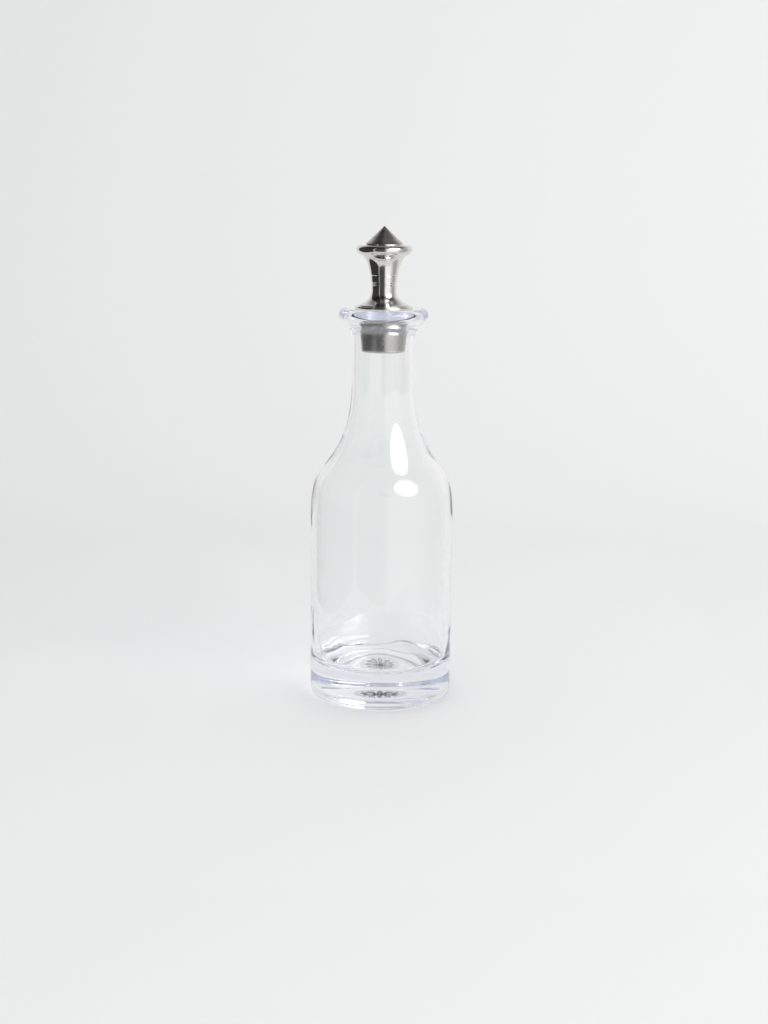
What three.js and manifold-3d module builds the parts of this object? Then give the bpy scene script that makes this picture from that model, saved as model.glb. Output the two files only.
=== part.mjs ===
// A mouth-blown glass oil bottle with a turned pewter stopper.
// Millimetres, +Z up. The origin is the centre of the resting face, and the stopper's vent faces -Y.

import * as THREE from 'three';
import { mergeVertices } from 'three/addons/utils/BufferGeometryUtils.js';
import Module from 'manifold-3d';

// Bottle, outside
const bodyRadius = 37.5;
const bodyHeight = 90; // straight side, from the resting face
const shoulderHeight = 76;
const shoulderTurnHeight = 0.43; // where the shoulder stops bulging, as a share of its height
const shoulderTurnRadius = 0.7; // the same place, as a share of the step from neck to body
const shoulderTurnSlope = THREE.MathUtils.degToRad(38); // its lean from the vertical there
const shoulderStartPull = 0.26; // the shoulder's curve handles, going up, as shares of its height
const shoulderBulgePull = 0.117;
const shoulderHollowPull = 0.147;
const shoulderEndPull = 0.29;
const neckRadius = 16.2;
const neckHeight = 24; // straight neck above the shoulder
const lipOverhang = 6.7; // how far the lip stands out past the neck
const lipEdgeRadius = 3.3; // the lip's rounded rim
const flareHeight = 10; // from the neck to the underside of the lip's rim
const flareStartPull = 0.5; // the flare's curve handles, as shares of its height
const flareEndPull = 0.3;
const footEdgeRadius = 3.5; // rounded corner at the foot of the side

// Bottle, glass thickness
const bodyWall = 4;
const neckWall = 2.6;
const floorEdgeHeight = 19; // inside floor where its corner starts, from the resting face
const floorRise = 3.6; // how far the middle of the floor domes above its edge
const floorCornerRadius = 5;
const domeRings = [0.7, 0.4, 0]; // facet rings of the domed floor, as shares of its radius
const mouthSlope = 48; // of the funnel inside the lip, in degrees from the level
const mouthBlend = 0.5; // the funnel's foot is rounded into the bore over this width
const mouthBlendDrop = 2.6; // and this height

// Ground hollow under the bottle, and the fired mark in it
const hollowRadius = 21.5;
const hollowFlatRadius = 10.5; // flat roof in its middle
const hollowDepth = 2.2;
const hollowStartPull = 0.5; // the hollow's curve handles: across its slope, and down from its roof
const hollowEndDrop = 0.6;
const markMargin = 0.9; // from the mark's edge to the flat roof's
const markThickness = 0.3;

// Stopper, below the lip
const plugClearance = 1.3; // round the top of the plug
const plugLength = 17.9; // below the foot disc
const plugTaper = 0.95; // how much the plug's radius falls from top to bottom
const plugWall = 1;
const plugEndThickness = 1;
const plugEdgeRadius = 0.7;
const ventRadius = 0.45;
const ventMargin = 0.25; // from the end's spigot up to the vent
const ventSides = 12;
const spigotDepth = 1.6; // of the foot disc's boss and the plug end's spigot
const spigotClearance = 0.15;

// Stopper, above the lip
const footOverhang = 1.3; // how far the foot disc reaches past the mouth's bore
const footStand = 1.3; // how far the foot disc stands up past the lip
const footEdge = 0.65; // its chamfer below and its rounding above
const seatGap = 0.06; // under that chamfer's outer corner, where the funnel carries it
const flareEdge = 0.4; // thickness of the stem's flare at its outer edge
const flareInset = 1.8; // from the foot disc's edge to the flare's
const flareRise = 7.7;
const flareReach = 0.33; // its curve handles: out, as a share of its width, and up, of its rise
const flareLowPull = 0.22;
const flareHighPull = 0.5;
const waistRadius = 6.35;
const trumpetHeight = 17.9;
const trumpetRadius = 12.6;
const trumpetLowSwell = 0.35; // its curve handles: out from the waist, and up, as a share
const trumpetLowPull = 0.28;
const trumpetHighSwell = 0.85;
const trumpetHighPull = 0.87;
const boreRadius = 3.2; // hollow up the middle of the stem
const rimOverhang = 1.8; // how far the rim stands out past the trumpet
const rimEdgeRadius = 2.05;
const rimStep = 0.5; // narrow ledge under the rim's round edge
const rimStepChamfer = 0.2;
const coneInset = 4.9; // from the rim's outer edge to the cone's
const coneSeat = 0.7; // raised seat under the cone
const coneSeatMargin = 0.3; // how far the seat shows round the cone
const coneHeight = 8.8;
const coneTipRadius = 0.4;
const dowelLength = 3;
const ringHeights = [2.3, 3.4, 7.2]; // turned lines, above the waist
const ringWidth = 0.5;
const ringDepth = 0.25;

// Levels up the stopper
const neckStart = bodyHeight + shoulderHeight;
const neckTop = neckStart + neckHeight;
const lipCentre = neckTop + flareHeight + lipEdgeRadius * Math.cos(Math.PI / 4);
const lipTop = lipCentre + lipEdgeRadius;
const footTop = lipTop + footStand;
const waistLevel = footTop + flareEdge + flareRise;
const stemTop = waistLevel + trumpetHeight;
const rimTop = stemTop + rimStep + 2 * rimEdgeRadius;
const coneBase = rimTop + coneSeat;

// Radii that follow from the fits
const lipRadius = neckRadius + lipOverhang;
const markRadius = hollowFlatRadius - markMargin;
const mouthRadius = neckRadius - neckWall;
const footRadius = mouthRadius + footOverhang;
const rimCentre = lipRadius - lipEdgeRadius;
const plugTopRadius = mouthRadius - plugClearance;
const plugBottomRadius = plugTopRadius - plugTaper;
const shellBottomRadius = plugTopRadius - plugTaper * (1 - plugEndThickness / plugLength);
const dowelRadius = boreRadius - spigotClearance;
const rimRadius = trumpetRadius + rimOverhang;
const coneRadius = rimRadius - coneInset;

// Levels of the stopper's seat and its plug
const funnelAngle = THREE.MathUtils.degToRad(mouthSlope);
const funnelTopRadius = rimCentre - lipEdgeRadius * Math.sin(funnelAngle);
const funnelTop = lipCentre + lipEdgeRadius * Math.cos(funnelAngle);
const funnelLevel = (radius) => funnelTop - (funnelTopRadius - radius) * Math.tan(funnelAngle);
const seatLevel = funnelLevel(footRadius) + seatGap - footEdge;
const plugBottom = seatLevel - plugLength;
const shellBottom = plugBottom + plugEndThickness;
const ventLevel = shellBottom + spigotDepth + ventMargin + ventRadius;

const bottleSides = 40;
const stopperSides = 32;

const glass = {
  color: 0xe9edf2, roughness: 0.02, metalness: 0, transparent: true, opacity: 0.35,
};
const polishedPewter = { color: 0xb9b6ae, roughness: 0.12, metalness: 1 };
const satinPewter = { color: 0x9a9894, roughness: 0.38, metalness: 1 };
const firedEnamel = { color: 0x565a5e, roughness: 0.5, metalness: 0 };

const wasm = await Module();
wasm.setup();

const point = (radius, height) => new THREE.Vector2(radius, height);

// Points along an arc in the profile's plane, from one angle to another in degrees.
function arc(radius, height, size, fromAngle, toAngle, steps) {
  const from = THREE.MathUtils.degToRad(fromAngle);
  const to = THREE.MathUtils.degToRad(toAngle);
  return new THREE.ArcCurve(radius, height, size, from, to, to < from).getPoints(steps);
}

// Points along a cubic curve, with its first point left out so that curves can follow each other.
function sweep(start, startHandle, endHandle, end, steps) {
  return new THREE.CubicBezierCurve(start, startHandle, endHandle, end).getPoints(steps).slice(1);
}

// A solid of revolution about Z from a profile that runs up the outside.
function turned(name, profile, sides, finish) {
  const geometry = new THREE.LatheGeometry(profile, sides);
  geometry.rotateX(Math.PI / 2);
  const mesh = new THREE.Mesh(geometry, new THREE.MeshStandardMaterial(finish));
  mesh.name = name;
  return mesh;
}

// A ring's profile comes back to its first point.
function turnedRing(name, profile, sides, finish) {
  return turned(name, [...profile, profile[0].clone()], sides, finish);
}

function solidOf(geometry) {
  const bare = geometry.clone();
  bare.deleteAttribute('normal');
  bare.deleteAttribute('uv');
  const merged = mergeVertices(bare);
  return new wasm.Manifold(new wasm.Mesh({
    numProp: 3,
    vertProperties: new Float32Array(merged.attributes.position.array),
    triVerts: new Uint32Array(merged.index.array),
  }));
}

function geometryOf(solid) {
  const mesh = solid.getMesh();
  const geometry = new THREE.BufferGeometry();
  geometry.setAttribute('position', new THREE.BufferAttribute(mesh.vertProperties, 3));
  geometry.setIndex(new THREE.BufferAttribute(mesh.triVerts, 1));
  geometry.computeVertexNormals();
  return geometry;
}

// The shoulder from the top of the straight side to the foot of the neck: it bulges out,
// leans in, then hollows into the neck. inset is the glass thickness for the inner face.
function shoulder(sideRadius, topRadius, inset, steps) {
  const turn = point(
    neckRadius + (bodyRadius - neckRadius) * shoulderTurnRadius - inset * Math.cos(shoulderTurnSlope),
    bodyHeight + shoulderHeight * shoulderTurnHeight - inset * Math.sin(shoulderTurnSlope),
  );
  const lean = point(-Math.sin(shoulderTurnSlope), Math.cos(shoulderTurnSlope));
  const start = point(sideRadius, bodyHeight);
  const end = point(topRadius, neckStart);
  const bulge = sweep(
    start,
    point(sideRadius, bodyHeight + shoulderHeight * shoulderStartPull),
    turn.clone().addScaledVector(lean, -shoulderHeight * shoulderBulgePull),
    turn,
    steps,
  );
  const hollow = sweep(
    turn,
    turn.clone().addScaledVector(lean, shoulderHeight * shoulderHollowPull),
    point(topRadius, neckStart - shoulderHeight * shoulderEndPull),
    end,
    steps,
  );
  return [start, ...bulge, ...hollow];
}

// The neck opens in a short flare to a thick lip, rounded over into the funnel of the mouth.
function lip() {
  const rim = arc(rimCentre, lipCentre, lipEdgeRadius, -45, 90 + mouthSlope, 8);
  const endPull = flareHeight * flareEndPull;
  const flare = sweep(
    point(neckRadius, neckTop),
    point(neckRadius, neckTop + flareHeight * flareStartPull),
    point(rim[0].x - endPull, rim[0].y - endPull),
    rim[0],
    4,
  );
  return [point(neckRadius, neckTop), ...flare, ...rim.slice(1)];
}

function bottle() {
  const innerRadius = bodyRadius - bodyWall;
  const cornerCentre = innerRadius - floorCornerRadius;
  const domeHeight = (share) => floorEdgeHeight + floorRise * (1 - share ** 2);
  const shoulderWall = (bodyWall + neckWall) / 2;
  const funnelFoot = point(mouthRadius + mouthBlend, funnelLevel(mouthRadius + mouthBlend));
  const boreCorner = point(mouthRadius, funnelLevel(mouthRadius));
  const profile = [
    point(0, hollowDepth),
    point(hollowFlatRadius, hollowDepth),
    ...sweep(
      point(hollowFlatRadius, hollowDepth),
      point(hollowFlatRadius + (hollowRadius - hollowFlatRadius) * hollowStartPull, hollowDepth),
      point(hollowRadius - hollowDepth, hollowDepth * (1 - hollowEndDrop)),
      point(hollowRadius, 0),
      3,
    ),
    ...arc(bodyRadius - footEdgeRadius, footEdgeRadius, footEdgeRadius, -90, 0, 4),
    ...shoulder(bodyRadius, neckRadius, 0, 6),
    ...lip(),
    funnelFoot,
    ...sweep(funnelFoot, boreCorner, boreCorner, point(mouthRadius, funnelFoot.y - mouthBlendDrop), 3),
    ...shoulder(innerRadius, mouthRadius, shoulderWall, 6).reverse(),
    ...arc(cornerCentre, floorEdgeHeight + floorCornerRadius, floorCornerRadius, 0, -90, 4),
    ...domeRings.map((share) => point(cornerCentre * share, domeHeight(share))),
  ];
  return turned('bottle', profile, bottleSides, glass);
}

// A thin disc of fired enamel on the roof of the ground hollow.
function baseMark() {
  const low = hollowDepth - markThickness;
  const profile = [
    point(0, low),
    point(markRadius, low),
    point(markRadius, hollowDepth),
    point(0, hollowDepth),
  ];
  return turned('base_mark', profile, stopperSides, firedEnamel);
}

// The disc that carries the stopper in the funnel of the mouth. Its boss centres the plug.
function footDisc() {
  const bossRadius = plugTopRadius - plugWall - spigotClearance;
  const profile = [
    point(boreRadius, seatLevel - spigotDepth),
    point(bossRadius, seatLevel - spigotDepth),
    point(bossRadius, seatLevel),
    point(footRadius - footEdge, seatLevel),
    point(footRadius, seatLevel + footEdge),
    ...arc(footRadius - footEdge, footTop - footEdge, footEdge, 0, 90, 3),
    point(boreRadius, footTop),
  ];
  return turnedRing('foot_disc', profile, stopperSides, polishedPewter);
}

// A tapered tube under the foot disc, with a pinhole that let the air out as it was soldered shut.
function plugShell() {
  const profile = [
    point(shellBottomRadius - plugWall, shellBottom),
    point(shellBottomRadius, shellBottom),
    point(plugTopRadius, seatLevel),
    point(plugTopRadius - plugWall, seatLevel),
  ];
  const shell = turnedRing('plug_shell', profile, stopperSides, satinPewter);
  const drillLength = 4 * plugWall; // well past both faces of the wall
  const vent = new THREE.CylinderGeometry(ventRadius, ventRadius, drillLength, ventSides);
  vent.translate(0, -plugBottomRadius, ventLevel);
  shell.geometry = geometryOf(solidOf(shell.geometry).subtract(solidOf(vent)));
  return shell;
}

// The disc that closes the plug, with a spigot inside the tube.
function plugEnd() {
  const spigotRadius = shellBottomRadius - plugWall - spigotClearance;
  const profile = [
    point(0, plugBottom),
    ...arc(plugBottomRadius - plugEdgeRadius, plugBottom + plugEdgeRadius, plugEdgeRadius, -90, 0, 3),
    point(shellBottomRadius, shellBottom),
    point(spigotRadius, shellBottom),
    point(spigotRadius, shellBottom + spigotDepth),
    point(0, shellBottom + spigotDepth),
  ];
  return turned('plug_end', profile, stopperSides, satinPewter);
}

// A V-shaped turned line in a stem whose radius at each height is known.
function turnedLine(radiusAt, level) {
  return [
    point(radiusAt(level - ringWidth / 2), level - ringWidth / 2),
    point(radiusAt(level) - ringDepth, level),
    point(radiusAt(level + ringWidth / 2), level + ringWidth / 2),
  ];
}

// The hollow stem: a flare on the foot disc, a waist, and a trumpet with turned lines.
function stem() {
  const flareRadius = footRadius - flareInset;
  const flareTop = footTop + flareEdge;
  const waist = point(waistRadius, waistLevel);
  const flare = sweep(
    point(flareRadius, flareTop),
    point(waistRadius + (flareRadius - waistRadius) * flareReach, flareTop + flareRise * flareLowPull),
    point(waistRadius, flareTop + flareRise * flareHighPull),
    waist,
    6,
  );
  const trumpet = new THREE.CubicBezierCurve(
    waist,
    point(waistRadius + trumpetLowSwell, waistLevel + trumpetHeight * trumpetLowPull),
    point(waistRadius + trumpetHighSwell, waistLevel + trumpetHeight * trumpetHighPull),
    point(trumpetRadius, stemTop),
  );
  const fine = trumpet.getPoints(60);
  const radiusAt = (level) => fine.find((spot) => spot.y >= level).x;
  const lastLine = waistLevel + Math.max(...ringHeights) + ringWidth;
  const profile = [
    point(boreRadius, footTop),
    point(flareRadius, footTop),
    point(flareRadius, flareTop),
    ...flare,
    ...ringHeights.flatMap((height) => turnedLine(radiusAt, waistLevel + height)),
    ...trumpet.getPoints(12).filter((spot) => spot.y > lastLine),
    point(boreRadius, stemTop),
  ];
  return turnedRing('stem', profile, stopperSides, polishedPewter);
}

// The rounded rim that fingers lift, with a dowel down into the stem and a socket for the cone.
function knobRim() {
  const edgeCentre = rimRadius - rimEdgeRadius;
  const profile = [
    point(0, stemTop - dowelLength),
    point(dowelRadius, stemTop - dowelLength),
    point(dowelRadius, stemTop),
    point(trumpetRadius, stemTop),
    point(trumpetRadius + rimStep - rimStepChamfer, stemTop),
    point(trumpetRadius + rimStep, stemTop + rimStepChamfer),
    ...arc(edgeCentre, stemTop + rimStep + rimEdgeRadius, rimEdgeRadius, -45, 90, 6),
    point(coneRadius + coneSeatMargin, rimTop),
    point(coneRadius + coneSeatMargin, coneBase),
    point(boreRadius, coneBase),
    point(boreRadius, coneBase - dowelLength - spigotClearance),
    point(0, coneBase - dowelLength - spigotClearance),
  ];
  return turned('knob_rim', profile, stopperSides, polishedPewter);
}

// The satin cone that caps the knob.
function knobCone() {
  const tip = arc(0, coneBase + coneHeight - coneTipRadius, coneTipRadius, 45, 90, 2);
  const profile = [
    point(0, coneBase - dowelLength),
    point(dowelRadius, coneBase - dowelLength),
    point(dowelRadius, coneBase),
    point(coneRadius, coneBase),
    ...tip.slice(0, -1),
    point(0, tip.at(-1).y),
  ];
  return turned('knob_cone', profile, stopperSides, satinPewter);
}

const group = new THREE.Group();
group.add(
  bottle(),
  baseMark(),
  plugEnd(),
  plugShell(),
  footDisc(),
  stem(),
  knobRim(),
  knobCone(),
);

export default group;
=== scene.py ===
"""A mouth-blown glass oil bottle with a turned pewter stopper, on a pale sheet of card in soft
light. Metres, +Z up. The origin is the centre of the resting face, and the vent faces -Y.
"""
import math

import bmesh
import bpy
from mathutils import Matrix, Vector


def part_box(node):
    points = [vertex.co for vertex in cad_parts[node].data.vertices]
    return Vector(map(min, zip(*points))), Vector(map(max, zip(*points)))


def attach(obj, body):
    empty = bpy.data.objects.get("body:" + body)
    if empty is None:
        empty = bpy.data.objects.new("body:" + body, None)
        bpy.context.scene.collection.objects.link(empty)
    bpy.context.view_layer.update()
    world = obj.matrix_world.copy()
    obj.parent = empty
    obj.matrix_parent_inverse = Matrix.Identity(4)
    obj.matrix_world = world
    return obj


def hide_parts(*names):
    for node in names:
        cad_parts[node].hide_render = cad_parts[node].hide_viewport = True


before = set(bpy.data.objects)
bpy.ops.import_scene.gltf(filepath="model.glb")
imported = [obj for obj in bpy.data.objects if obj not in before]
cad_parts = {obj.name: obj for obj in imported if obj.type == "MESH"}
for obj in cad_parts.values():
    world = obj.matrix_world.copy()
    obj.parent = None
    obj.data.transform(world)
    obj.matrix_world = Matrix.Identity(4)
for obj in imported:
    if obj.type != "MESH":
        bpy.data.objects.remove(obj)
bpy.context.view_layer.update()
scene = bpy.context.scene


# ---- Camera -------------------------------------------------------------------------------
# A short telephoto on a tripod, a little above the stopper and tipped down at the bottle.

mm = 0.001
camera_place = (1.2 * mm, -798.9 * mm, 272.8 * mm)
camera_tip = math.radians(77.7)
camera_lean = math.radians(0.6)

camera = bpy.data.objects.new("camera", bpy.data.cameras.new("camera"))
camera.data.lens = 54.5
camera.data.clip_start = 50 * mm
camera_turn = Matrix.Rotation(camera_tip, 4, "X") @ Matrix.Rotation(camera_lean, 4, "Z")
camera.matrix_world = Matrix.Translation(camera_place) @ camera_turn
scene.collection.objects.link(camera)
scene.camera = camera

scene.view_settings.view_transform = "Standard"
scene.cycles.use_denoising = True
scene.cycles.max_bounces = 48
scene.cycles.transmission_bounces = 48
scene.cycles.glossy_bounces = 32
scene.cycles.transparent_max_bounces = 32
scene.cycles.sample_clamp_indirect = 8.0


# ---- Floor --------------------------------------------------------------------------------
# A sheet of matt white card on a narrow table, which curves up behind the bottle. It lies on a
# wider sheet of the same card, which only the camera sees.

card_half_width = 0.62
card_front = -0.45
under_half_width = 1.6
under_front = -1.4
under_drop = 0.2 * mm
card_bend_start = 0.34
card_bend_radius = 0.55
card_top = 1.7
card_level = -0.1 * mm # the ground ring stands on its high spots, a hair above the card
card_colour = (0.86, 0.865, 0.865, 1)


def add(tree, kind, given=None, **settings):
    """Adds a node. given maps its inputs to their values or to the outputs that feed them."""
    made = tree.nodes.new(kind)
    for key, value in settings.items():
        setattr(made, key, value)
    for key, value in (given or {}).items():
        if isinstance(value, bpy.types.NodeSocket):
            tree.links.new(value, made.inputs[key])
        else:
            made.inputs[key].default_value = value
    return made


def new_material(name):
    """A material, its node tree and its shader."""
    material = bpy.data.materials.new(name)
    material.use_nodes = True
    return material, material.node_tree, material.node_tree.nodes["Principled BSDF"]


def white_card():
    """Matt card, almost flat, with a very fine tooth."""
    material, tree, shader = new_material("white_card")
    shader.inputs["Base Color"].default_value = card_colour
    shader.inputs["Roughness"].default_value = 0.9
    shader.inputs["Specular IOR Level"].default_value = 0.2
    place = add(tree, "ShaderNodeTexCoord")
    tooth = add(tree, "ShaderNodeTexNoise", {"Vector": place.outputs["Object"], "Scale": 900})
    bump = add(tree, "ShaderNodeBump", {
        "Strength": 0.05, "Distance": 0.1 * mm, "Height": tooth.outputs["Fac"],
    })
    tree.links.new(bump.outputs["Normal"], shader.inputs["Normal"])
    return material


def card_sheet(name, half_width, front, drop, finish, steps=24):
    """A sheet from its front edge, back along the table and up the bend. drop sets it back."""
    level, radius = card_level - drop, card_bend_radius + drop
    line = [(front, level), (card_bend_start, level)]
    for step in range(1, steps + 1):
        angle = math.pi / 2 * step / steps
        line.append((
            card_bend_start + radius * math.sin(angle), level + radius * (1 - math.cos(angle)),
        ))
    line.append((line[-1][0], card_top))
    mesh = bpy.data.meshes.new(name)
    shape = bmesh.new()
    rows = [[shape.verts.new((side * half_width, y, z)) for side in (-1, 1)] for y, z in line]
    for low, high in zip(rows, rows[1:]):
        shape.faces.new((low[0], low[1], high[1], high[0])).smooth = True
    shape.to_mesh(mesh)
    shape.free()
    mesh.materials.append(finish)
    sheet = bpy.data.objects.new(name, mesh)
    scene.collection.objects.link(sheet)
    sheet.visible_glossy = False
    return sheet


card_finish = white_card()
card = card_sheet("card", card_half_width, card_front, 0, card_finish)
under_card = card_sheet("under_card", under_half_width, under_front, under_drop, card_finish)
under_card.visible_transmission = False
under_card.visible_diffuse = False

# Polished metal mirrors only the near part of the card, as on a small table.
mirrored_half_width = 0.2
mirrored_front = -0.24
mirrored_back = 0.34
mirrored_level = card_level / 2

mirrored_mesh = bpy.data.meshes.new("mirrored_card")
mirrored_mesh.from_pydata([
    (-mirrored_half_width, mirrored_front, mirrored_level),
    (mirrored_half_width, mirrored_front, mirrored_level),
    (mirrored_half_width, mirrored_back, mirrored_level),
    (-mirrored_half_width, mirrored_back, mirrored_level),
], [], [(0, 1, 2, 3)])
mirrored_mesh.materials.append(card_finish)
mirrored_card = bpy.data.objects.new("mirrored_card", mirrored_mesh)
scene.collection.objects.link(mirrored_card)
mirrored_card.visible_camera = False
mirrored_card.visible_diffuse = False
mirrored_card.visible_transmission = False
mirrored_card.visible_shadow = False


# ---- Light --------------------------------------------------------------------------------
# One round softbox, high to the right of the camera, and the room: pale, but dark to the left
# and in front, which is what gives polished metal and thick glass their dark bands.

softbox_bearing = math.radians(49)
softbox_rise = math.radians(36)
softbox_distance = 2.2
softbox_width = 1.6
softbox_power = 26
softbox_aim = Vector((0, 0, 0.12))

# (bearing from the camera's side in degrees, to the right is positive, and brightness there)
room_walls = [
    (-180, 0.86), (-132, 0.84), (-124, 0.05), (-47, 0.035), (-44, 0.6), (-41, 0.6), (-38, 0.06),
    (2, 0.10), (14, 1.15), (52, 1.15), (64, 0.80), (84, 0.45), (104, 0.45), (124, 0.86), (180, 0.86),
]
room_warmth = (1.0, 0.99, 0.97, 1)

softbox_data = bpy.data.lights.new("softbox", "AREA")
softbox_data.shape = "DISK"
softbox_data.size = softbox_width
softbox_data.energy = softbox_power
softbox = bpy.data.objects.new("softbox", softbox_data)
softbox_way = Vector((
    math.sin(softbox_bearing) * math.cos(softbox_rise),
    -math.cos(softbox_bearing) * math.cos(softbox_rise),
    math.sin(softbox_rise),
))
softbox.location = softbox_aim + softbox_way * softbox_distance
softbox.rotation_euler = (-softbox_way).to_track_quat("-Z", "Y").to_euler()
softbox.visible_camera = False
scene.collection.objects.link(softbox)


def room_light():
    """The world. Mirrored rays see the walls and a dim ceiling, also when they then leave through
    glass, and the rest see an even, pale room. The camera sees it fade down to the card's tone."""
    world = bpy.data.worlds.new("room")
    world.use_nodes = True
    tree = world.node_tree
    tree.nodes.clear()
    place = add(tree, "ShaderNodeTexCoord")
    way = add(tree, "ShaderNodeSeparateXYZ", {0: place.outputs["Generated"]})
    front = add(tree, "ShaderNodeMath", {0: way.outputs["Y"], 1: -1.0}, operation="MULTIPLY")
    bearing = add(tree, "ShaderNodeMath", {0: way.outputs["X"], 1: front.outputs[0]},
                  operation="ARCTAN2")
    share = add(tree, "ShaderNodeMapRange", {
        "Value": bearing.outputs[0], "From Min": -math.pi, "From Max": math.pi,
    })
    walls = add(tree, "ShaderNodeValToRGB", {"Fac": share.outputs["Result"]})
    ramp = walls.color_ramp
    ramp.elements[0].color = (room_walls[0][1],) * 3 + (1,)
    ramp.elements[1].color = (room_walls[-1][1],) * 3 + (1,)
    for degrees, level in room_walls[1:-1]:
        ramp.elements.new((degrees + 180) / 360).color = (level, level, level, 1)
    warm = add(tree, "ShaderNodeMix", {"Factor": 1.0, "A": walls.outputs["Color"], "B": room_warmth},
               data_type="RGBA", blend_type="MULTIPLY")

    def fade(low, high, from_value, to_value):
        return add(tree, "ShaderNodeMapRange", {
            "Value": way.outputs["Z"], "From Min": low, "From Max": high,
            "To Min": from_value, "To Max": to_value,
        }).outputs["Result"]

    mirrored = add(tree, "ShaderNodeVectorMath", {
        0: warm.outputs["Result"], "Scale": fade(0.45, 0.75, 1, 0.25),
    }, operation="SCALE")
    pale = fade(0.2, 0.8, 0.86, 0.62)
    inner = add(tree, "ShaderNodeMix", {
        "Factor": fade(0.2, 0.5, 0, 1), "A": walls.outputs["Color"], "B": (0.45, 0.45, 0.46, 1),
    }, data_type="RGBA")

    path = add(tree, "ShaderNodeLightPath")
    even = add(tree, "ShaderNodeMix", {
        "Factor": path.outputs["Is Diffuse Ray"], "A": pale, "B": (0.66, 0.66, 0.66, 1),
    }, data_type="RGBA")
    mirrored_once = add(tree, "ShaderNodeMath", {0: path.outputs["Glossy Depth"], 1: 0.5},
                        operation="GREATER_THAN")
    from_inside = add(tree, "ShaderNodeMath", {0: path.outputs["Transmission Depth"], 1: 2.5},
                      operation="GREATER_THAN")
    turned_back = add(tree, "ShaderNodeMath", {0: mirrored_once.outputs[0], 1: from_inside.outputs[0]},
                      operation="MULTIPLY")
    through = add(tree, "ShaderNodeMix", {
        "Factor": turned_back.outputs[0], "A": pale, "B": inner.outputs["Result"],
    }, data_type="RGBA")
    with_mirror = add(tree, "ShaderNodeMix", {
        "Factor": path.outputs["Is Glossy Ray"], "A": even.outputs["Result"],
        "B": mirrored.outputs[0],
    }, data_type="RGBA")
    seen = add(tree, "ShaderNodeMix", {
        "Factor": path.outputs["Is Transmission Ray"], "A": with_mirror.outputs["Result"],
        "B": through.outputs["Result"],
    }, data_type="RGBA")
    lamp_side = add(tree, "ShaderNodeVectorMath", {
        0: place.outputs["Generated"], 1: (math.sin(softbox_bearing), -math.cos(softbox_bearing), 0),
    }, operation="DOT_PRODUCT")
    far_tone = add(tree, "ShaderNodeMapRange", {
        "Value": lamp_side.outputs["Value"], "From Min": -0.9, "From Max": 0.9,
        "To Min": 0.64, "To Max": 1.0,
    })
    risen = add(tree, "ShaderNodeMix", {
        "Factor": fade(0, 0.3, 0, 1), "A": far_tone.outputs["Result"], "B": (0.86, 0.86, 0.86, 1),
    }, data_type="RGBA")
    behind = add(tree, "ShaderNodeMix", {
        "Factor": path.outputs["Is Camera Ray"], "A": seen.outputs["Result"],
        "B": risen.outputs["Result"],
    }, data_type="RGBA")
    background = add(tree, "ShaderNodeBackground", {"Color": behind.outputs["Result"]})
    add(tree, "ShaderNodeOutputWorld", {"Surface": background.outputs[0]})
    return world


scene.world = room_light()


# ---- Bottle -------------------------------------------------------------------------------
# One gather of clear glass, mouth-blown: thick base, even wall, tooled lip, and a shallow hollow
# ground underneath. The mould made its outside true, and its inside keeps slow waves.

bottle_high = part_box("bottle")[1]
body_radius = bottle_high.x
lip_top = bottle_high.z
body_height = 90 * mm
shoulder_height = 76 * mm
shoulder_turn_height = 0.43 # where the shoulder stops bulging, as shares of its height and step
shoulder_turn_radius = 0.7
shoulder_turn_slope = math.radians(38)
shoulder_pulls = (0.26, 0.117, 0.147, 0.29) # its curve handles going up, as shares of its height
neck_radius = 16.2 * mm
neck_height = 24 * mm
lip_radius = 22.9 * mm
lip_edge_radius = 3.3 * mm
foot_edge_radius = 3.5 * mm
body_wall = 4 * mm
neck_wall = 2.6 * mm
floor_edge_height = 19 * mm
floor_rise = 3.6 * mm
floor_corner_radius = 5 * mm
mouth_slope = math.radians(48) # of the funnel inside the lip, from the level
mouth_blend_width = 0.5 * mm # where the funnel starts to turn into the bore
mouth_blend_height = 2.6 * mm
hollow_radius = 21.5 * mm
hollow_flat_radius = 10.5 * mm
hollow_depth = 2.2 * mm
wave_height = 0.25 * mm # how far the inside swings in and out
bottle_sides = 192
glass_tint = (0.82, 0.855, 0.97, 1)
glass_shadow = (0.90, 0.90, 0.915, 1) # light let through by each surface it passes

mouth_radius = neck_radius - neck_wall
neck_start = body_height + shoulder_height
neck_top = neck_start + neck_height
lip_centre = lip_top - lip_edge_radius
flare_height = lip_centre - lip_edge_radius * math.sqrt(0.5) - neck_top
mouth_top = (
    lip_radius - lip_edge_radius - lip_edge_radius * math.sin(mouth_slope),
    lip_centre + lip_edge_radius * math.cos(mouth_slope),
)


def mouth_level(radius):
    """Height of the funnel at this radius."""
    return mouth_top[1] - (mouth_top[0] - radius) * math.tan(mouth_slope)


def straight(start, end, steps):
    """Points along a line, without its first."""
    return [
        (start[0] + (end[0] - start[0]) * s / steps, start[1] + (end[1] - start[1]) * s / steps)
        for s in range(1, steps + 1)
    ]


def arc(centre_radius, centre_height, size, from_degrees, to_degrees, steps):
    """Points along an arc, both ends included."""
    angles = [
        math.radians(from_degrees + (to_degrees - from_degrees) * s / steps) for s in range(steps + 1)
    ]
    return [
        (centre_radius + size * math.cos(a), centre_height + size * math.sin(a)) for a in angles
    ]


def curve(start, start_handle, end_handle, end, steps):
    """Points along a cubic curve, without its first."""
    points = []
    for s in range(1, steps + 1):
        t = s / steps
        weights = ((1 - t) ** 3, 3 * (1 - t) ** 2 * t, 3 * (1 - t) * t * t, t ** 3)
        corners = (start, start_handle, end_handle, end)
        points.append(tuple(sum(w * c[axis] for w, c in zip(weights, corners)) for axis in (0, 1)))
    return points


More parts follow.
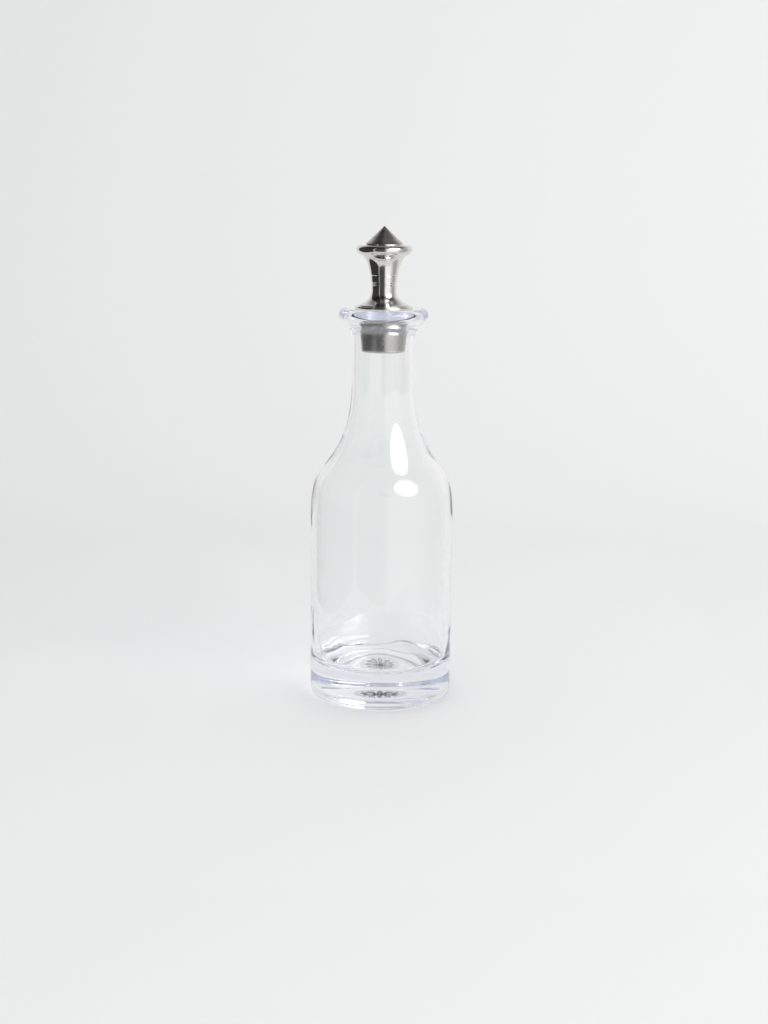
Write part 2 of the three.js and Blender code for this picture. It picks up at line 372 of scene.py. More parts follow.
def shoulder(side_radius, top_radius, inset, steps):
    """The shoulder bulges out, leans in, then hollows into the neck. inset is the wall there."""
    side_pull, bulge_pull, hollow_pull, neck_pull = [shoulder_height * p for p in shoulder_pulls]
    turn = (
        neck_radius + (body_radius - neck_radius) * shoulder_turn_radius
        - inset * math.cos(shoulder_turn_slope),
        body_height + shoulder_height * shoulder_turn_height
        - inset * math.sin(shoulder_turn_slope),
    )
    lean = (-math.sin(shoulder_turn_slope), math.cos(shoulder_turn_slope))

    def along(distance):
        return (turn[0] + lean[0] * distance, turn[1] + lean[1] * distance)

    start = (side_radius, body_height)
    end = (top_radius, neck_start)
    return [
        start,
        *curve(start, (side_radius, body_height + side_pull), along(-bulge_pull), turn, steps),
        *curve(turn, along(hollow_pull), (top_radius, neck_start - neck_pull), end, steps),
    ]


def bottle_outside():
    """From the middle of the hollow underneath, up the outside, to the inner edge of the lip."""
    lip = arc(lip_radius - lip_edge_radius, lip_centre, lip_edge_radius,
              -45, 90 + math.degrees(mouth_slope), 24)
    flare_pull = flare_height * 0.3
    flare_end = (lip[0][0] - flare_pull, lip[0][1] - flare_pull)
    blend = (mouth_radius + mouth_blend_width, mouth_level(mouth_radius + mouth_blend_width))
    bore_top = (mouth_radius, blend[1] - mouth_blend_height)
    return [
        (0, hollow_depth),
        *straight((0, hollow_depth), (hollow_flat_radius, hollow_depth), 5),
        *curve(
            (hollow_flat_radius, hollow_depth),
            ((hollow_flat_radius + hollow_radius) / 2, hollow_depth),
            (hollow_radius - hollow_depth, hollow_depth * 0.4), (hollow_radius, 0), 10,
        ),
        *straight((hollow_radius, 0), (body_radius - foot_edge_radius, 0), 5)[:-1],
        *arc(body_radius - foot_edge_radius, foot_edge_radius, foot_edge_radius, -90, 0, 10),
        *straight((body_radius, foot_edge_radius), (body_radius, body_height), 40)[:-1],
        *shoulder(body_radius, neck_radius, 0, 24),
        *straight((neck_radius, neck_start), (neck_radius, neck_top), 8),
        *curve((neck_radius, neck_top), (neck_radius, neck_top + flare_height * 0.5),
               flare_end, lip[0], 12),
        *lip[1:],
        *straight(lip[-1], blend, 8),
        *curve(blend, (mouth_radius, mouth_level(mouth_radius)),
               (mouth_radius, bore_top[1] + mouth_blend_height / 3), bore_top, 8),
    ]


def bottle_inside():
    """From the bore at the mouth, down the inside, to the middle of the domed floor."""
    inner_radius = body_radius - body_wall
    corner_centre = inner_radius - floor_corner_radius
    corner = arc(corner_centre, floor_edge_height + floor_corner_radius, floor_corner_radius,
                 0, -90, 12)
    bore_top = mouth_level(mouth_radius + mouth_blend_width) - mouth_blend_height
    bore = straight((mouth_radius, bore_top), (mouth_radius, neck_start), 14)
    dome = []
    for step in range(1, 17):
        share = 1 - step / 16
        dome.append((corner_centre * share, floor_edge_height + floor_rise * (1 - share ** 2)))
    return [
        *bore[:-1],
        *reversed(shoulder(inner_radius, mouth_radius, (body_wall + neck_wall) / 2, 24)),
        *straight((inner_radius, body_height), corner[0], 48)[:-1],
        *corner,
        *dome,
    ]


def edge_shares(profile):
    """How sharply a profile turns at each point: 1 on a crisp edge, -1 in a crisp corner."""
    shares = [0.0] * len(profile)
    for i in range(1, len(profile) - 1):
        before = Vector(profile[i]) - Vector(profile[i - 1])
        after = Vector(profile[i + 1]) - Vector(profile[i])
        bend = 2 * before.angle_signed(after, 0) / (before.length + after.length)
        gentle, crisp = 1 / (1.2 * mm), 1 / (0.25 * mm)
        amount = min(max((abs(bend) - gentle) / (crisp - gentle), 0), 1)
        shares[i] = amount if bend < 0 else -amount
    return shares


def new_nodes(name, inputs):
    """A Geometry Nodes tree with these named inputs, and its input node."""
    tree = bpy.data.node_groups.new(name, "GeometryNodeTree")
    for label, kind in inputs.items():
        tree.interface.new_socket(label, in_out="INPUT", socket_type="NodeSocket" + kind)
    tree.interface.new_socket("Geometry", in_out="OUTPUT", socket_type="NodeSocketGeometry")
    return tree, add(tree, "NodeGroupInput")


def maths(tree, operation, first, second=0.0):
    return add(tree, "ShaderNodeMath", {0: first, 1: second}, operation=operation).outputs[0]


def finished(tree, geometry, finish):
    """Ends a tree: real faces, and their material."""
    real = add(tree, "GeometryNodeRealizeInstances", {0: geometry})
    coat = add(tree, "GeometryNodeSetMaterial", {"Geometry": real.outputs[0], "Material": finish})
    add(tree, "NodeGroupOutput", {0: coat.outputs[0]})
    return tree


def turning_nodes():
    """Turns a profile about Z. Ripple moves points in and out in slow waves, as far as the
    profile's own "ripple" lets it, and its "edge" is kept on the mesh for the finish."""
    tree, given = new_nodes("turning", {
        "Geometry": "Geometry", "Sides": "Int", "Ripple": "Float", "Finish": "Material",
    })
    profile = given.outputs["Geometry"]
    size = add(tree, "GeometryNodeAttributeDomainSize", {"Geometry": profile})
    grid = add(tree, "GeometryNodeMeshGrid", {
        "Size X": 1.0, "Size Y": 1.0, "Vertices X": maths(tree, "ADD", given.outputs["Sides"], 1),
        "Vertices Y": size.outputs["Point Count"],
    })
    where = add(tree, "GeometryNodeInputPosition").outputs[0]
    flat = add(tree, "ShaderNodeSeparateXYZ", {0: where})
    across = maths(tree, "ADD", flat.outputs["X"], 0.5)
    up = maths(tree, "ADD", flat.outputs["Y"], 0.5)
    last = maths(tree, "SUBTRACT", size.outputs["Point Count"], 1)
    index = maths(tree, "ROUND", maths(tree, "MULTIPLY", up, last))

    def sampled(kind, value):
        return add(tree, "GeometryNodeSampleIndex", {
            "Geometry": profile, "Value": value, "Index": index,
        }, data_type=kind).outputs["Value"]

    def kept(name):
        return sampled("FLOAT", add(tree, "GeometryNodeInputNamedAttribute", {"Name": name},
                                    data_type="FLOAT").outputs["Attribute"])

    turn = add(tree, "ShaderNodeVectorRotate", {
        "Vector": sampled("FLOAT_VECTOR", where), "Angle": maths(tree, "MULTIPLY", across, math.tau),
    }, rotation_type="Z_AXIS").outputs[0]
    stretch = add(tree, "ShaderNodeVectorMath", {0: turn, 1: (1, 1, 1.4)}, operation="MULTIPLY")
    waves = add(tree, "ShaderNodeTexNoise", {
        "Vector": stretch.outputs[0], "Scale": 46.0, "Detail": 1.0,
    })
    swing = maths(tree, "MULTIPLY", maths(tree, "SUBTRACT", waves.outputs[0], 0.5), 2)
    reach = maths(tree, "MULTIPLY", maths(tree, "MULTIPLY", swing, given.outputs["Ripple"]),
                  kept("ripple"))
    outward = add(tree, "ShaderNodeVectorMath", {0: turn, 1: (1, 1, 0)}, operation="MULTIPLY")
    unit = add(tree, "ShaderNodeVectorMath", {0: outward.outputs[0]}, operation="NORMALIZE")
    shift = add(tree, "ShaderNodeVectorMath", {0: unit.outputs[0], "Scale": reach},
                operation="SCALE")
    moved = add(tree, "ShaderNodeVectorMath", {0: turn, 1: shift.outputs[0]}, operation="ADD")
    marked = add(tree, "GeometryNodeStoreNamedAttribute", {
        "Geometry": grid.outputs["Mesh"], "Name": "edge", "Value": kept("edge"),
    }, data_type="FLOAT")
    placed = add(tree, "GeometryNodeSetPosition", {
        "Geometry": marked.outputs[0], "Position": moved.outputs[0],
    })
    weld = add(tree, "GeometryNodeMergeByDistance", {
        "Geometry": placed.outputs[0], "Distance": 0.002 * mm,
    })
    smooth = add(tree, "GeometryNodeSetShadeSmooth", {"Geometry": weld.outputs[0]})
    return finished(tree, smooth.outputs[0], given.outputs["Finish"])


turning = turning_nodes()


def applied(name, source, tree, values):
    """The plain mesh that a Geometry Nodes tree makes from a mesh, as a new object."""
    carrier = bpy.data.objects.new(name + "_source", source)
    scene.collection.objects.link(carrier)
    modifier = carrier.modifiers.new("make", "NODES")
    modifier.node_group = tree
    sockets = {
        item.name: item.identifier for item in tree.interface.items_tree
        if item.item_type == "SOCKET" and item.in_out == "INPUT"
    }
    for socket, value in values.items():
        modifier[sockets[socket]] = value
    bpy.context.view_layer.update()
    evaluated = carrier.evaluated_get(bpy.context.evaluated_depsgraph_get())
    mesh = bpy.data.meshes.new_from_object(evaluated)
    mesh.name = name
    bpy.data.objects.remove(carrier)
    piece = bpy.data.objects.new(name, mesh)
    scene.collection.objects.link(piece)
    return piece


def turned(name, profile, sides, finish, ripple=0.0, weights=None):
    """A piece turned about Z from (radius, height) points that run up the outside."""
    line = bpy.data.meshes.new(name + "_profile")
    edges = [(i, i + 1) for i in range(len(profile) - 1)]
    line.from_pydata([(radius, 0, height) for radius, height in profile], edges, [])
    for label, values in (
        ("ripple", weights or [0.0] * len(profile)), ("edge", edge_shares(profile)),
    ):
        line.attributes.new(label, "FLOAT", "POINT").data.foreach_set("value", values)
    return applied(name, line, turning, {"Sides": sides, "Ripple": ripple, "Finish": finish})


def clear_glass():
    """Clear glass, lavender where it is thick, with slow striae, that lets the lamps through."""
    material, tree, shader = new_material("clear_glass")
    shader.inputs["Base Color"].default_value = (1, 1, 1, 1)
    shader.inputs["Roughness"].default_value = 0.0
    shader.inputs["IOR"].default_value = 1.5
    shader.inputs["Transmission Weight"].default_value = 1
    place = add(tree, "ShaderNodeTexCoord")
    striae = add(tree, "ShaderNodeTexNoise", {
        "Vector": place.outputs["Object"], "Scale": 60.0, "Detail": 1.0,
    })
    bump = add(tree, "ShaderNodeBump", {
        "Strength": 0.2, "Distance": 0.05 * mm, "Height": striae.outputs["Fac"],
    })
    tree.links.new(bump.outputs["Normal"], shader.inputs["Normal"])
    lamp_way = add(tree, "ShaderNodeBsdfTransparent", {"Color": glass_shadow})
    path = add(tree, "ShaderNodeLightPath")
    surface = add(tree, "ShaderNodeMixShader", {
        "Fac": path.outputs["Is Shadow Ray"], 1: shader.outputs[0], 2: lamp_way.outputs[0],
    })
    tint = add(tree, "ShaderNodeVolumeAbsorption", {"Color": glass_tint, "Density": 5.0})
    output = tree.nodes["Material Output"]
    tree.links.new(surface.outputs[0], output.inputs["Surface"])
    tree.links.new(tint.outputs[0], output.inputs["Volume"])
    return material


def outside_waves(profile):
    """The outside is almost true: only the side and the shoulder wave a little."""
    return [0.2 if body_radius - r < 1 * mm or body_height < z < neck_start else 0.0 for r, z in profile]


def inside_waves(profile):
    """The wall waves everywhere, and most just above the floor, where the glass chilled first.
    The floor itself is nearly smooth."""
    chilled = floor_edge_height + 14 * mm
    floor_radius = body_radius - body_wall - floor_corner_radius
    return [
        0.15 if r < floor_radius and z < body_height
        else 1.0 + 2.0 * math.exp(-((z - chilled) / (16 * mm)) ** 2)
        for r, z in profile
    ]


outside, inside = bottle_outside(), bottle_inside()
bottle = turned(
    "oil_bottle", [*outside, *inside], bottle_sides, clear_glass(),
    ripple=wave_height, weights=outside_waves(outside) + inside_waves(inside),
)
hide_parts("bottle")
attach(bottle, "bottle")


# ---- Base mark ----------------------------------------------------------------------------
# A rosette of fine lines in dark grey enamel, printed on the roof of the ground hollow and
# fired into the glass. It is seen from above, through the floor of the bottle.

mark_radius = 9.4 * mm
mark_thickness = 0.22 * mm
mark_bite = 0.06 * mm # how deep the firing sinks it into the glass
mark_level = hollow_depth + mark_bite - mark_thickness / 2
mark_colour = (0.035, 0.037, 0.042, 1)
mark_pale_colour = (0.10, 0.105, 0.115, 1)
mark_petals = 12


def enamel():
    """Fired enamel: dark, slightly uneven in colour and gloss."""
    material, tree, shader = new_material("fired_enamel")
    place = add(tree, "ShaderNodeTexCoord")
    grain = add(tree, "ShaderNodeTexNoise", {
        "Vector": place.outputs["Object"], "Scale": 1800.0, "Detail": 3.0,
    })
    colour = add(tree, "ShaderNodeMix", {
        "Factor": grain.outputs["Fac"], "A": mark_colour, "B": mark_pale_colour,
    }, data_type="RGBA")
    gloss = add(tree, "ShaderNodeMapRange", {
        "Value": grain.outputs["Fac"], "To Min": 0.35, "To Max": 0.6,
    })
    bump = add(tree, "ShaderNodeBump", {
        "Strength": 0.4, "Distance": 0.02 * mm, "Height": grain.outputs["Fac"],
    })
    tree.links.new(colour.outputs["Result"], shader.inputs["Base Color"])
    tree.links.new(gloss.outputs["Result"], shader.inputs["Roughness"])
    tree.links.new(bump.outputs["Normal"], shader.inputs["Normal"])
    return material


def rosette_nodes():
    """Rings, rows of dots and rows of looped petals about Z, all as shares of Radius."""
    tree, given = new_nodes("rosette", {
        "Geometry": "Geometry", "Radius": "Float", "Level": "Float", "Thickness": "Float",
        "Petals": "Int", "Finish": "Material",
    })
    radius, petals = given.outputs["Radius"], given.outputs["Petals"]
    join = add(tree, "GeometryNodeJoinGeometry")

    def lined(path_curve, width):
        """A flat line of this width along a curve."""
        bar = add(tree, "GeometryNodeCurvePrimitiveQuadrilateral", {
            "Width": width, "Height": given.outputs["Thickness"],
        })
        return add(tree, "GeometryNodeCurveToMesh", {
            "Curve": path_curve, "Profile Curve": bar.outputs[0],
        }).outputs[0]

    def ring(share, width):
        circle = add(tree, "GeometryNodeCurvePrimitiveCircle", {
            "Resolution": 96, "Radius": maths(tree, "MULTIPLY", radius, share),
        })
        tree.links.new(lined(circle.outputs[0], width), join.inputs[0])

    def row(count, share, shape):
        """Copies of a shape round a circle, each turned to face outwards."""
        circle = add(tree, "GeometryNodeMeshCircle", {
            "Vertices": count, "Radius": maths(tree, "MULTIPLY", radius, share),
        })
        step = maths(tree, "DIVIDE", math.tau, count)
        index = add(tree, "GeometryNodeInputIndex").outputs[0]
        turn = add(tree, "ShaderNodeCombineXYZ", {"Z": maths(tree, "MULTIPLY", index, step)})
        copies = add(tree, "GeometryNodeInstanceOnPoints", {
            "Points": circle.outputs[0], "Instance": shape, "Rotation": turn.outputs[0],
        })
        tree.links.new(copies.outputs[0], join.inputs[0])

    def dot(size):
        return add(tree, "GeometryNodeMeshCylinder", {
            "Vertices": 8, "Radius": size, "Depth": given.outputs["Thickness"],
        }).outputs[0]

    def petal(length, width, line):
        """One looped petal, its long axis on X."""
        circle = add(tree, "GeometryNodeCurvePrimitiveCircle", {"Resolution": 16, "Radius": 1.0})
        oval = add(tree, "GeometryNodeTransform", {
            "Geometry": circle.outputs[0], "Scale": (length / 2, width / 2, 1),
        })
        return lined(oval.outputs[0], line)

    ring(0.97, 0.12 * mm)
    row(24, 0.86, dot(0.3 * mm))
    row(petals, 0.6, petal(2.8 * mm, 1.7 * mm, 0.4 * mm))
    row(petals, 0.6, dot(0.4 * mm))
    ring(0.38, 0.3 * mm)
    row(8, 0.2, petal(2.2 * mm, 1.1 * mm, 0.45 * mm))
    ring(0.05, 0.5 * mm)
    lift = add(tree, "ShaderNodeCombineXYZ", {"Z": given.outputs["Level"]})
    placed = add(tree, "GeometryNodeTransform", {
        "Geometry": join.outputs[0], "Translation": lift.outputs[0],
    })
    return finished(tree, placed.outputs[0], given.outputs["Finish"])


rosette = applied("rosette", bpy.data.meshes.new("rosette_seed"), rosette_nodes(), {
    "Radius": mark_radius, "Level": mark_level, "Thickness": mark_thickness, "Petals": mark_petals,
    "Finish": enamel(),
})
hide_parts("base_mark")
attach(rosette, "bottle")


# ---- Plug end -----------------------------------------------------------------------------
# A pewter disc that closes the plug. It was turned with a spigot, pushed into the tube and
# soldered, and its lower edge is rounded so that it enters the mouth easily.

plug_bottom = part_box("plug_end")[0].z
shell_low, shell_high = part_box("plug_shell")
plug_top_radius = shell_high.x
plug_taper = 0.95 * mm
seat_level = shell_high.z # the foot disc's underside, sunk into the funnel
plug_length = seat_level - plug_bottom
plug_wall = 1 * mm
plug_edge_radius = 0.7 * mm
spigot_depth = 1.6 * mm
spigot_clearance = 0.15 * mm
satin_colour = (0.60, 0.595, 0.585)
satin_edge = 0.08 * mm # how far its edges were softened
plug_sides = 128

plug_bottom_radius = plug_top_radius - plug_taper
shell_bottom = shell_low.z
shell_bottom_radius = plug_top_radius - plug_taper * (1 - (shell_bottom - plug_bottom) / plug_length)


def rounded(corners, radius, closed=False, steps=4):
    """A profile with its sharp corners rounded, and held tight by a point on each side."""
    points = [Vector(c) for c in corners]
    count = len(points)
    result = []
    for i, here in enumerate(points):
        if not closed and i in (0, count - 1):
            result.append(tuple(here))
            continue
        before, after = points[i - 1] - here, points[(i + 1) % count] - here
        bend = math.pi - before.angle(after)
        if bend < math.radians(20):
            result.append(tuple(here))
            continue
        reach = min(radius * math.tan(bend / 2), before.length * 0.3, after.length * 0.3)
        start, end = here + before.normalized() * reach, here + after.normalized() * reach
        hold_before = min(reach * 2.5, before.length * 0.45)
        hold_after = min(reach * 2.5, after.length * 0.45)
        result.append(tuple(here + before.normalized() * hold_before))
        for step in range(steps + 1):
            share = step / steps
            result.append(tuple(start.lerp(here, share).lerp(here.lerp(end, share), share)))
        result.append(tuple(here + after.normalized() * hold_after))
    return [*result, result[0]] if closed else result


def new_group(name, inputs, outputs):
    """A shader node group with these named inputs, with their values, and outputs."""
    tree = bpy.data.node_groups.new(name, "ShaderNodeTree")
    for label, value in inputs.items():
        tree.interface.new_socket(
            label, in_out="INPUT", socket_type="NodeSocketFloat",
        ).default_value = value
    for label in outputs:
        tree.interface.new_socket(label, in_out="OUTPUT", socket_type="NodeSocketFloat")
    return tree, add(tree, "NodeGroupInput")


def turning_marks():
    """Fine rings left by the lathe tool, all round the piece and uneven in depth."""
    tree, given = new_group("turning_marks", {"Lines": 6000.0, "Patches": 120.0},
                            ["Height", "Streak"])
    place = add(tree, "ShaderNodeTexCoord").outputs["Object"]
    way = add(tree, "ShaderNodeSeparateXYZ", {0: place})
    round_part = add(tree, "ShaderNodeVectorMath", {0: place, 1: (1, 1, 0)}, operation="MULTIPLY")
    radius = add(tree, "ShaderNodeVectorMath", {0: round_part.outputs[0]}, operation="LENGTH")
    run = maths(tree, "ADD", way.outputs["Z"], maths(tree, "MULTIPLY", radius.outputs["Value"], 0.9))
    fine = add(tree, "ShaderNodeTexNoise", {
        "W": maths(tree, "MULTIPLY", run, given.outputs["Lines"]), "Scale": 1.0, "Detail": 3.0,
    }, noise_dimensions="1D")
    patches = add(tree, "ShaderNodeTexNoise", {
        "Vector": place, "Scale": given.outputs["Patches"], "Detail": 2.0,
    })
    depth = add(tree, "ShaderNodeMapRange", {
        "Value": patches.outputs["Fac"], "From Min": 0.3, "From Max": 0.7,
        "To Min": 0.35, "To Max": 1.0,
    })
    height = maths(tree, "MULTIPLY", fine.outputs["Fac"], depth.outputs["Result"])
    add(tree, "NodeGroupOutput", {"Height": height, "Streak": fine.outputs["Fac"]})
    return tree


def wear_marks():
    """Bright worn edges and dull corners from the mesh's "edge", and smudges from hands."""
    tree, given = new_group("wear_marks", {"Smudges": 90.0}, ["Worn", "Dull", "Smudge"])
    place = add(tree, "ShaderNodeTexCoord").outputs["Object"]
    edge = add(tree, "ShaderNodeAttribute", attribute_name="edge").outputs["Fac"]
    chips = add(tree, "ShaderNodeTexNoise", {"Vector": place, "Scale": 700.0, "Detail": 4.0})
    broken = maths(tree, "ADD", maths(tree, "MULTIPLY", chips.outputs["Fac"], 0.9), 0.35)
    worn = add(tree, "ShaderNodeClamp", {0: maths(tree, "MULTIPLY", edge, broken)})
    low = maths(tree, "MULTIPLY", edge, -1.0)
    dull = add(tree, "ShaderNodeClamp", {0: maths(tree, "MULTIPLY", low, broken)})
    smudge = add(tree, "ShaderNodeTexNoise", {
        "Vector": place, "Scale": given.outputs["Smudges"], "Detail": 5.0, "Roughness": 0.6,
    })
    add(tree, "NodeGroupOutput", {
        "Worn": worn.outputs[0], "Dull": dull.outputs[0], "Smudge": smudge.outputs["Fac"],
    })
    return tree


lathe_marks, hand_marks = turning_marks(), wear_marks()


def pewter(name, colour, roughness, lines, line_depth, streak, dullness=0.5, brushing=0.0):
    """Turned pewter. Streak is how much the tool's rings change its gloss and its tone, and
    brushing is how far they draw its reflections out across the rings."""
    material, tree, shader = new_material(name)
    shader.inputs["Metallic"].default_value = 1
    shader.inputs["Anisotropic"].default_value = brushing
    round_axis = add(tree, "ShaderNodeTangent", direction_type="RADIAL", axis="Z")
    tree.links.new(round_axis.outputs[0], shader.inputs["Tangent"])
    rings = add(tree, "ShaderNodeGroup", node_tree=lathe_marks)
    rings.inputs["Lines"].default_value = lines
    wear = add(tree, "ShaderNodeGroup", node_tree=hand_marks)
    tone = add(tree, "ShaderNodeMapRange", {
        "Value": rings.outputs["Streak"], "From Min": 0.25, "From Max": 0.75,
        "To Min": 1 - streak, "To Max": 1.0,
    })
    plain = add(tree, "ShaderNodeVectorMath", {0: colour, "Scale": tone.outputs["Result"]},
                operation="SCALE")
    dulled = add(tree, "ShaderNodeMix", {
        "Factor": maths(tree, "MULTIPLY", wear.outputs["Dull"], dullness),
        "A": plain.outputs[0], "B": (0.16, 0.15, 0.14, 1),
    }, data_type="RGBA")
    brightened = add(tree, "ShaderNodeMix", {
        "Factor": maths(tree, "MULTIPLY", wear.outputs["Worn"], 0.5),
        "A": dulled.outputs["Result"], "B": (0.92, 0.91, 0.89, 1),
    }, data_type="RGBA")
    tree.links.new(brightened.outputs["Result"], shader.inputs["Base Color"])
    handled = add(tree, "ShaderNodeMapRange", {
        "Value": wear.outputs["Smudge"], "From Min": 0.35, "From Max": 0.65,
        "To Min": roughness * 0.8, "To Max": roughness * 1.35,
    })
    gloss = maths(tree, "ADD", handled.outputs["Result"],
                  maths(tree, "MULTIPLY", rings.outputs["Streak"], roughness * streak))
    tree.links.new(gloss, shader.inputs["Roughness"])
    bump = add(tree, "ShaderNodeBump", {
        "Strength": 1.0, "Distance": line_depth, "Height": rings.outputs["Height"],
    })
    tree.links.new(bump.outputs["Normal"], shader.inputs["Normal"])
    return material


satin = pewter("satin_pewter", satin_colour, 0.2, 9000.0, 0.004 * mm, 0.35, brushing=0.7)
plug_end_line = [
    (0, plug_bottom),
    *straight((0, plug_bottom), (plug_bottom_radius - plug_edge_radius, plug_bottom), 8)[:-1],
    *arc(plug_bottom_radius - plug_edge_radius, plug_bottom + plug_edge_radius,
         plug_edge_radius, -90, 0, 8),
]
plug_end_top = [
    (shell_bottom_radius, shell_bottom),
    (shell_bottom_radius - plug_wall - spigot_clearance, shell_bottom),
    (shell_bottom_radius - plug_wall - spigot_clearance, shell_bottom + spigot_depth),
    (0, shell_bottom + spigot_depth),
]
plug_end = turned(
    "plug_end_disc", rounded([*plug_end_line, *plug_end_top], satin_edge), plug_sides, satin,
)
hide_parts("plug_end")
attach(plug_end, "stopper")


# ---- Plug shell ---------------------------------------------------------------------------
# A tapered pewter tube, brushed round and round. A pinhole near its foot let the hot air out
# while its end was soldered in.

vent_radius = 0.45 * mm
vent_margin = 0.25 * mm
vent_level = shell_bottom + spigot_depth + vent_margin + vent_radius


def drilled(piece, radius, level):
    """The piece with a round hole drilled through its wall from -Y, as a plain mesh."""
    drill_bm = bmesh.new()
    turn = Matrix.Rotation(math.pi / 2, 4, "X")
    bmesh.ops.create_cone(
        drill_bm, cap_ends=True, segments=32, radius1=radius, radius2=radius,
        depth=4 * plug_wall, matrix=Matrix.Translation((0, -plug_bottom_radius, level)) @ turn,
    )
    drill_mesh = bpy.data.meshes.new("drill")
    drill_bm.to_mesh(drill_mesh)
    drill_bm.free()
    drill_mesh.materials.append(piece.data.materials[0])
    drill = bpy.data.objects.new("drill", drill_mesh)
    scene.collection.objects.link(drill)
    cut = piece.modifiers.new("vent", "BOOLEAN")
    cut.operation = "DIFFERENCE"
    cut.solver = "EXACT"
    cut.object = drill
    bpy.context.view_layer.update()
    evaluated = piece.evaluated_get(bpy.context.evaluated_depsgraph_get())
    mesh = bpy.data.meshes.new_from_object(evaluated)
    piece.modifiers.clear()
    piece.data = mesh
    bpy.data.objects.remove(drill)


shell_foot = (shell_bottom_radius, shell_bottom)
shell_head = (plug_top_radius, seat_level)
shell_line = [
    shell_foot,
    *straight(shell_foot, shell_head, 60),
    (plug_top_radius - plug_wall, seat_level),
    (shell_bottom_radius - plug_wall, shell_bottom),
]
plug_shell = turned("plug_tube", rounded(shell_line, 0.1 * mm, closed=True), 160, satin)
drilled(plug_shell, vent_radius, vent_level)
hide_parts("plug_shell")
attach(plug_shell, "stopper")


# ---- Foot disc ----------------------------------------------------------------------------
# A polished pewter disc with a rounded edge. It sits on the lip and carries the stopper, and
# its boss holds the tube in line underneath.

foot_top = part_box("foot_disc")[1].z
bore_radius = 3.2 * mm
polished_colour = (0.80, 0.79, 0.77)
knob_sides = 160

polished = pewter("polished_pewter", polished_colour, 0.11, 14000.0, 0.0014 * mm, 0.12, 0.25)
foot_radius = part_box("foot_disc")[1].x
foot_edge = 0.65 * mm # its chamfer below and its rounding above
boss_radius = plug_top_radius - plug_wall - spigot_clearance
foot_line = [
    (bore_radius, seat_level - spigot_depth),
    (boss_radius, seat_level - spigot_depth),
    (boss_radius, seat_level),
    (foot_radius - foot_edge, seat_level),
    (foot_radius, seat_level + foot_edge),
    *straight((foot_radius, seat_level + foot_edge), (foot_radius, foot_top - foot_edge), 8)[:-1],
    *arc(foot_radius - foot_edge, foot_top - foot_edge, foot_edge, 0, 90, 10),
    *straight((foot_radius - foot_edge, foot_top), (bore_radius, foot_top), 12),
]
foot_profile = rounded(foot_line, satin_edge, closed=True)
foot_disc = turned("foot_plate", foot_profile, knob_sides, polished)
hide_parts("foot_disc")
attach(foot_disc, "stopper")


# ---- Stem ---------------------------------------------------------------------------------
# A hollow polished stem: a flare on the foot disc, a waist, and a trumpet. Three fine lines
# were cut in it with a pointed tool while it was still in the lathe.

stem_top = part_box("stem")[1].z
flare_inset = 1.8 * mm
flare_edge = 0.4 * mm
flare_radius = foot_radius - flare_inset
flare_top = foot_top + flare_edge
flare_rise = 7.7 * mm
flare_reach = 0.33 # its curve handles: out, as a share of its width, and up, of its rise
flare_pulls = (0.22, 0.5)
waist_radius = 6.35 * mm
waist_level = flare_top + flare_rise
trumpet_radius = 12.6 * mm
trumpet_height = stem_top - waist_level
trumpet_swells = (0.35 * mm, 0.85 * mm) # its curve handles: out from the waist, and up, as shares
trumpet_pulls = (0.28, 0.87)
polished_edge = 0.06 * mm
line_levels = [waist_level + rise for rise in (2.3 * mm, 3.4 * mm, 7.2 * mm)]
line_width = 0.75 * mm
line_depth = 0.34 * mm
line_deepest = 0.2 # how far up the cut its deepest point is, so that most of it faces down


def stem_line():
    """Up the outside of the stem, with its cut lines, and down its bore."""
    waist = (waist_radius, waist_level)
    flare = curve(
        (flare_radius, flare_top),
        (waist_radius + (flare_radius - waist_radius) * flare_reach,
         flare_top + flare_rise * flare_pulls[0]),
        (waist_radius, flare_top + flare_rise * flare_pulls[1]), waist, 28,
    )
    trumpet = curve(
        waist,
        (waist_radius + trumpet_swells[0], waist_level + trumpet_height * trumpet_pulls[0]),
        (waist_radius + trumpet_swells[1], waist_level + trumpet_height * trumpet_pulls[1]),
        (trumpet_radius, stem_top), 180,
    )
    outside_line = []
    for radius, height in trumpet:
        cut = 0
        for level in line_levels:
            share = (height - level) / line_width + 0.5
            if 0 < share < 1:
                cut = min(share / line_deepest, (1 - share) / (1 - line_deepest))
        outside_line.append((radius - line_depth * cut, height))
    return [
        (bore_radius, foot_top),
        (flare_radius, foot_top),
        (flare_radius, flare_top),
        *flare,
        *outside_line,
        (bore_radius, stem_top),
    ]


stem_profile = rounded(stem_line(), polished_edge, closed=True)
stem = turned("knob_stem", stem_profile, knob_sides, polished)
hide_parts("stem")
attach(stem, "stopper")


# ---- Knob rim -----------------------------------------------------------------------------
# The polished rounded rim that fingers lift. A dowel holds it in the stem, and a raised seat
# with a socket takes the cone.

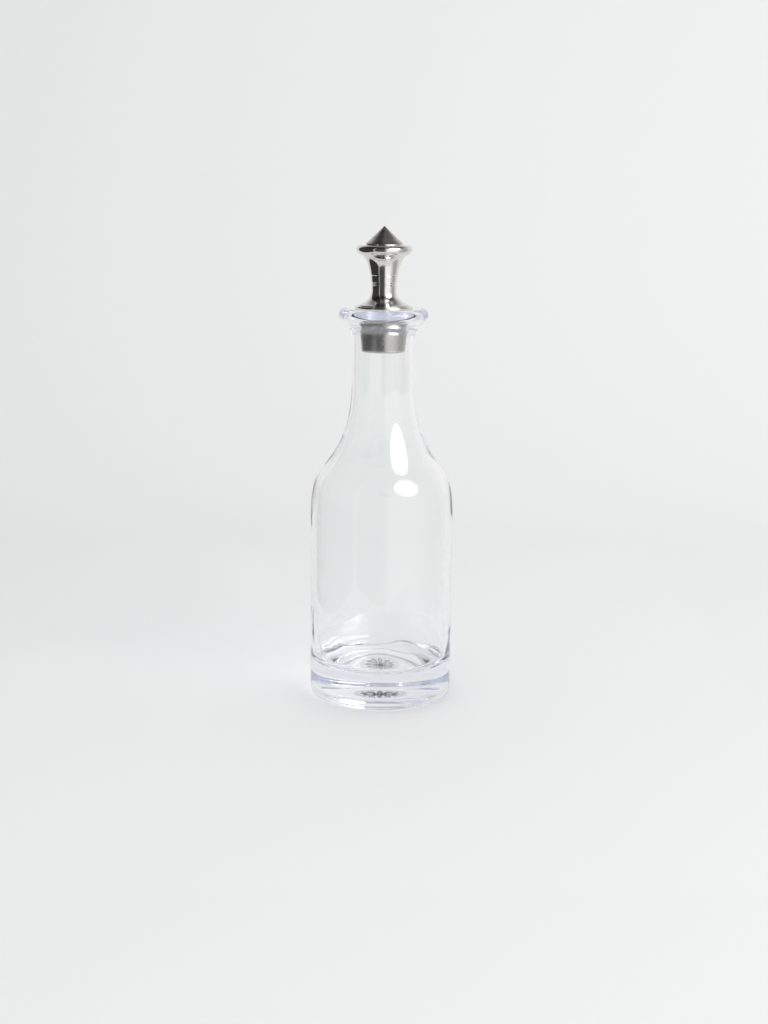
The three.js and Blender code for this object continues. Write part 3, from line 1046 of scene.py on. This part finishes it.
rim_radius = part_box("knob_rim")[1].x
cone_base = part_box("knob_rim")[1].z
dowel_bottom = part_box("knob_rim")[0].z
cone_seat = 0.7 * mm
cone_seat_margin = 0.3 * mm
rim_top = cone_base - cone_seat
rim_step = 0.5 * mm
rim_step_chamfer = 0.2 * mm
rim_edge_radius = (rim_top - stem_top - rim_step) / 2
dowel_radius = bore_radius - spigot_clearance
dowel_length = stem_top - dowel_bottom
cone_low, cone_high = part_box("knob_cone")
cone_radius = cone_high.x

socket_floor = cone_base - dowel_length - spigot_clearance
seat_radius = cone_radius + cone_seat_margin
rim_line = [
    (0, dowel_bottom),
    (dowel_radius, dowel_bottom),
    (dowel_radius, stem_top),
    (trumpet_radius + rim_step - rim_step_chamfer, stem_top),
    (trumpet_radius + rim_step, stem_top + rim_step_chamfer),
    *arc(rim_radius - rim_edge_radius, rim_top - rim_edge_radius, rim_edge_radius, -45, 90, 36),
    *straight((rim_radius - rim_edge_radius, rim_top), (seat_radius, rim_top), 6),
    (seat_radius, cone_base),
    (bore_radius, cone_base),
    (bore_radius, socket_floor),
    (0, socket_floor),
]
rim = turned("knob_ring", rounded(rim_line, polished_edge), knob_sides, polished)
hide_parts("knob_rim")
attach(rim, "stopper")


# ---- Knob cone ----------------------------------------------------------------------------
# A solid cone with a softened tip caps the knob. It was left with a fine satin turning, and its
# dowel is soldered into the rim.

cone_tip_radius = 0.4 * mm
cone_edge = 0.12 * mm
cone_tip = arc(0, cone_high.z - cone_tip_radius, cone_tip_radius, 45, 90, 8)
cone_line = [
    (0, cone_low.z),
    (dowel_radius, cone_low.z),
    (dowel_radius, cone_base),
    (cone_radius, cone_base),
    *straight((cone_radius, cone_base), cone_tip[0], 40),
    *cone_tip[1:-1],
    (0, cone_high.z),
]
cone_satin = pewter("satin_cone_pewter", satin_colour, 0.2, 11000.0, 0.003 * mm, 0.25, brushing=0.6)
cone = turned("knob_cap", rounded(cone_line, cone_edge), knob_sides, cone_satin)
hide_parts("knob_cone")
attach(cone, "stopper")
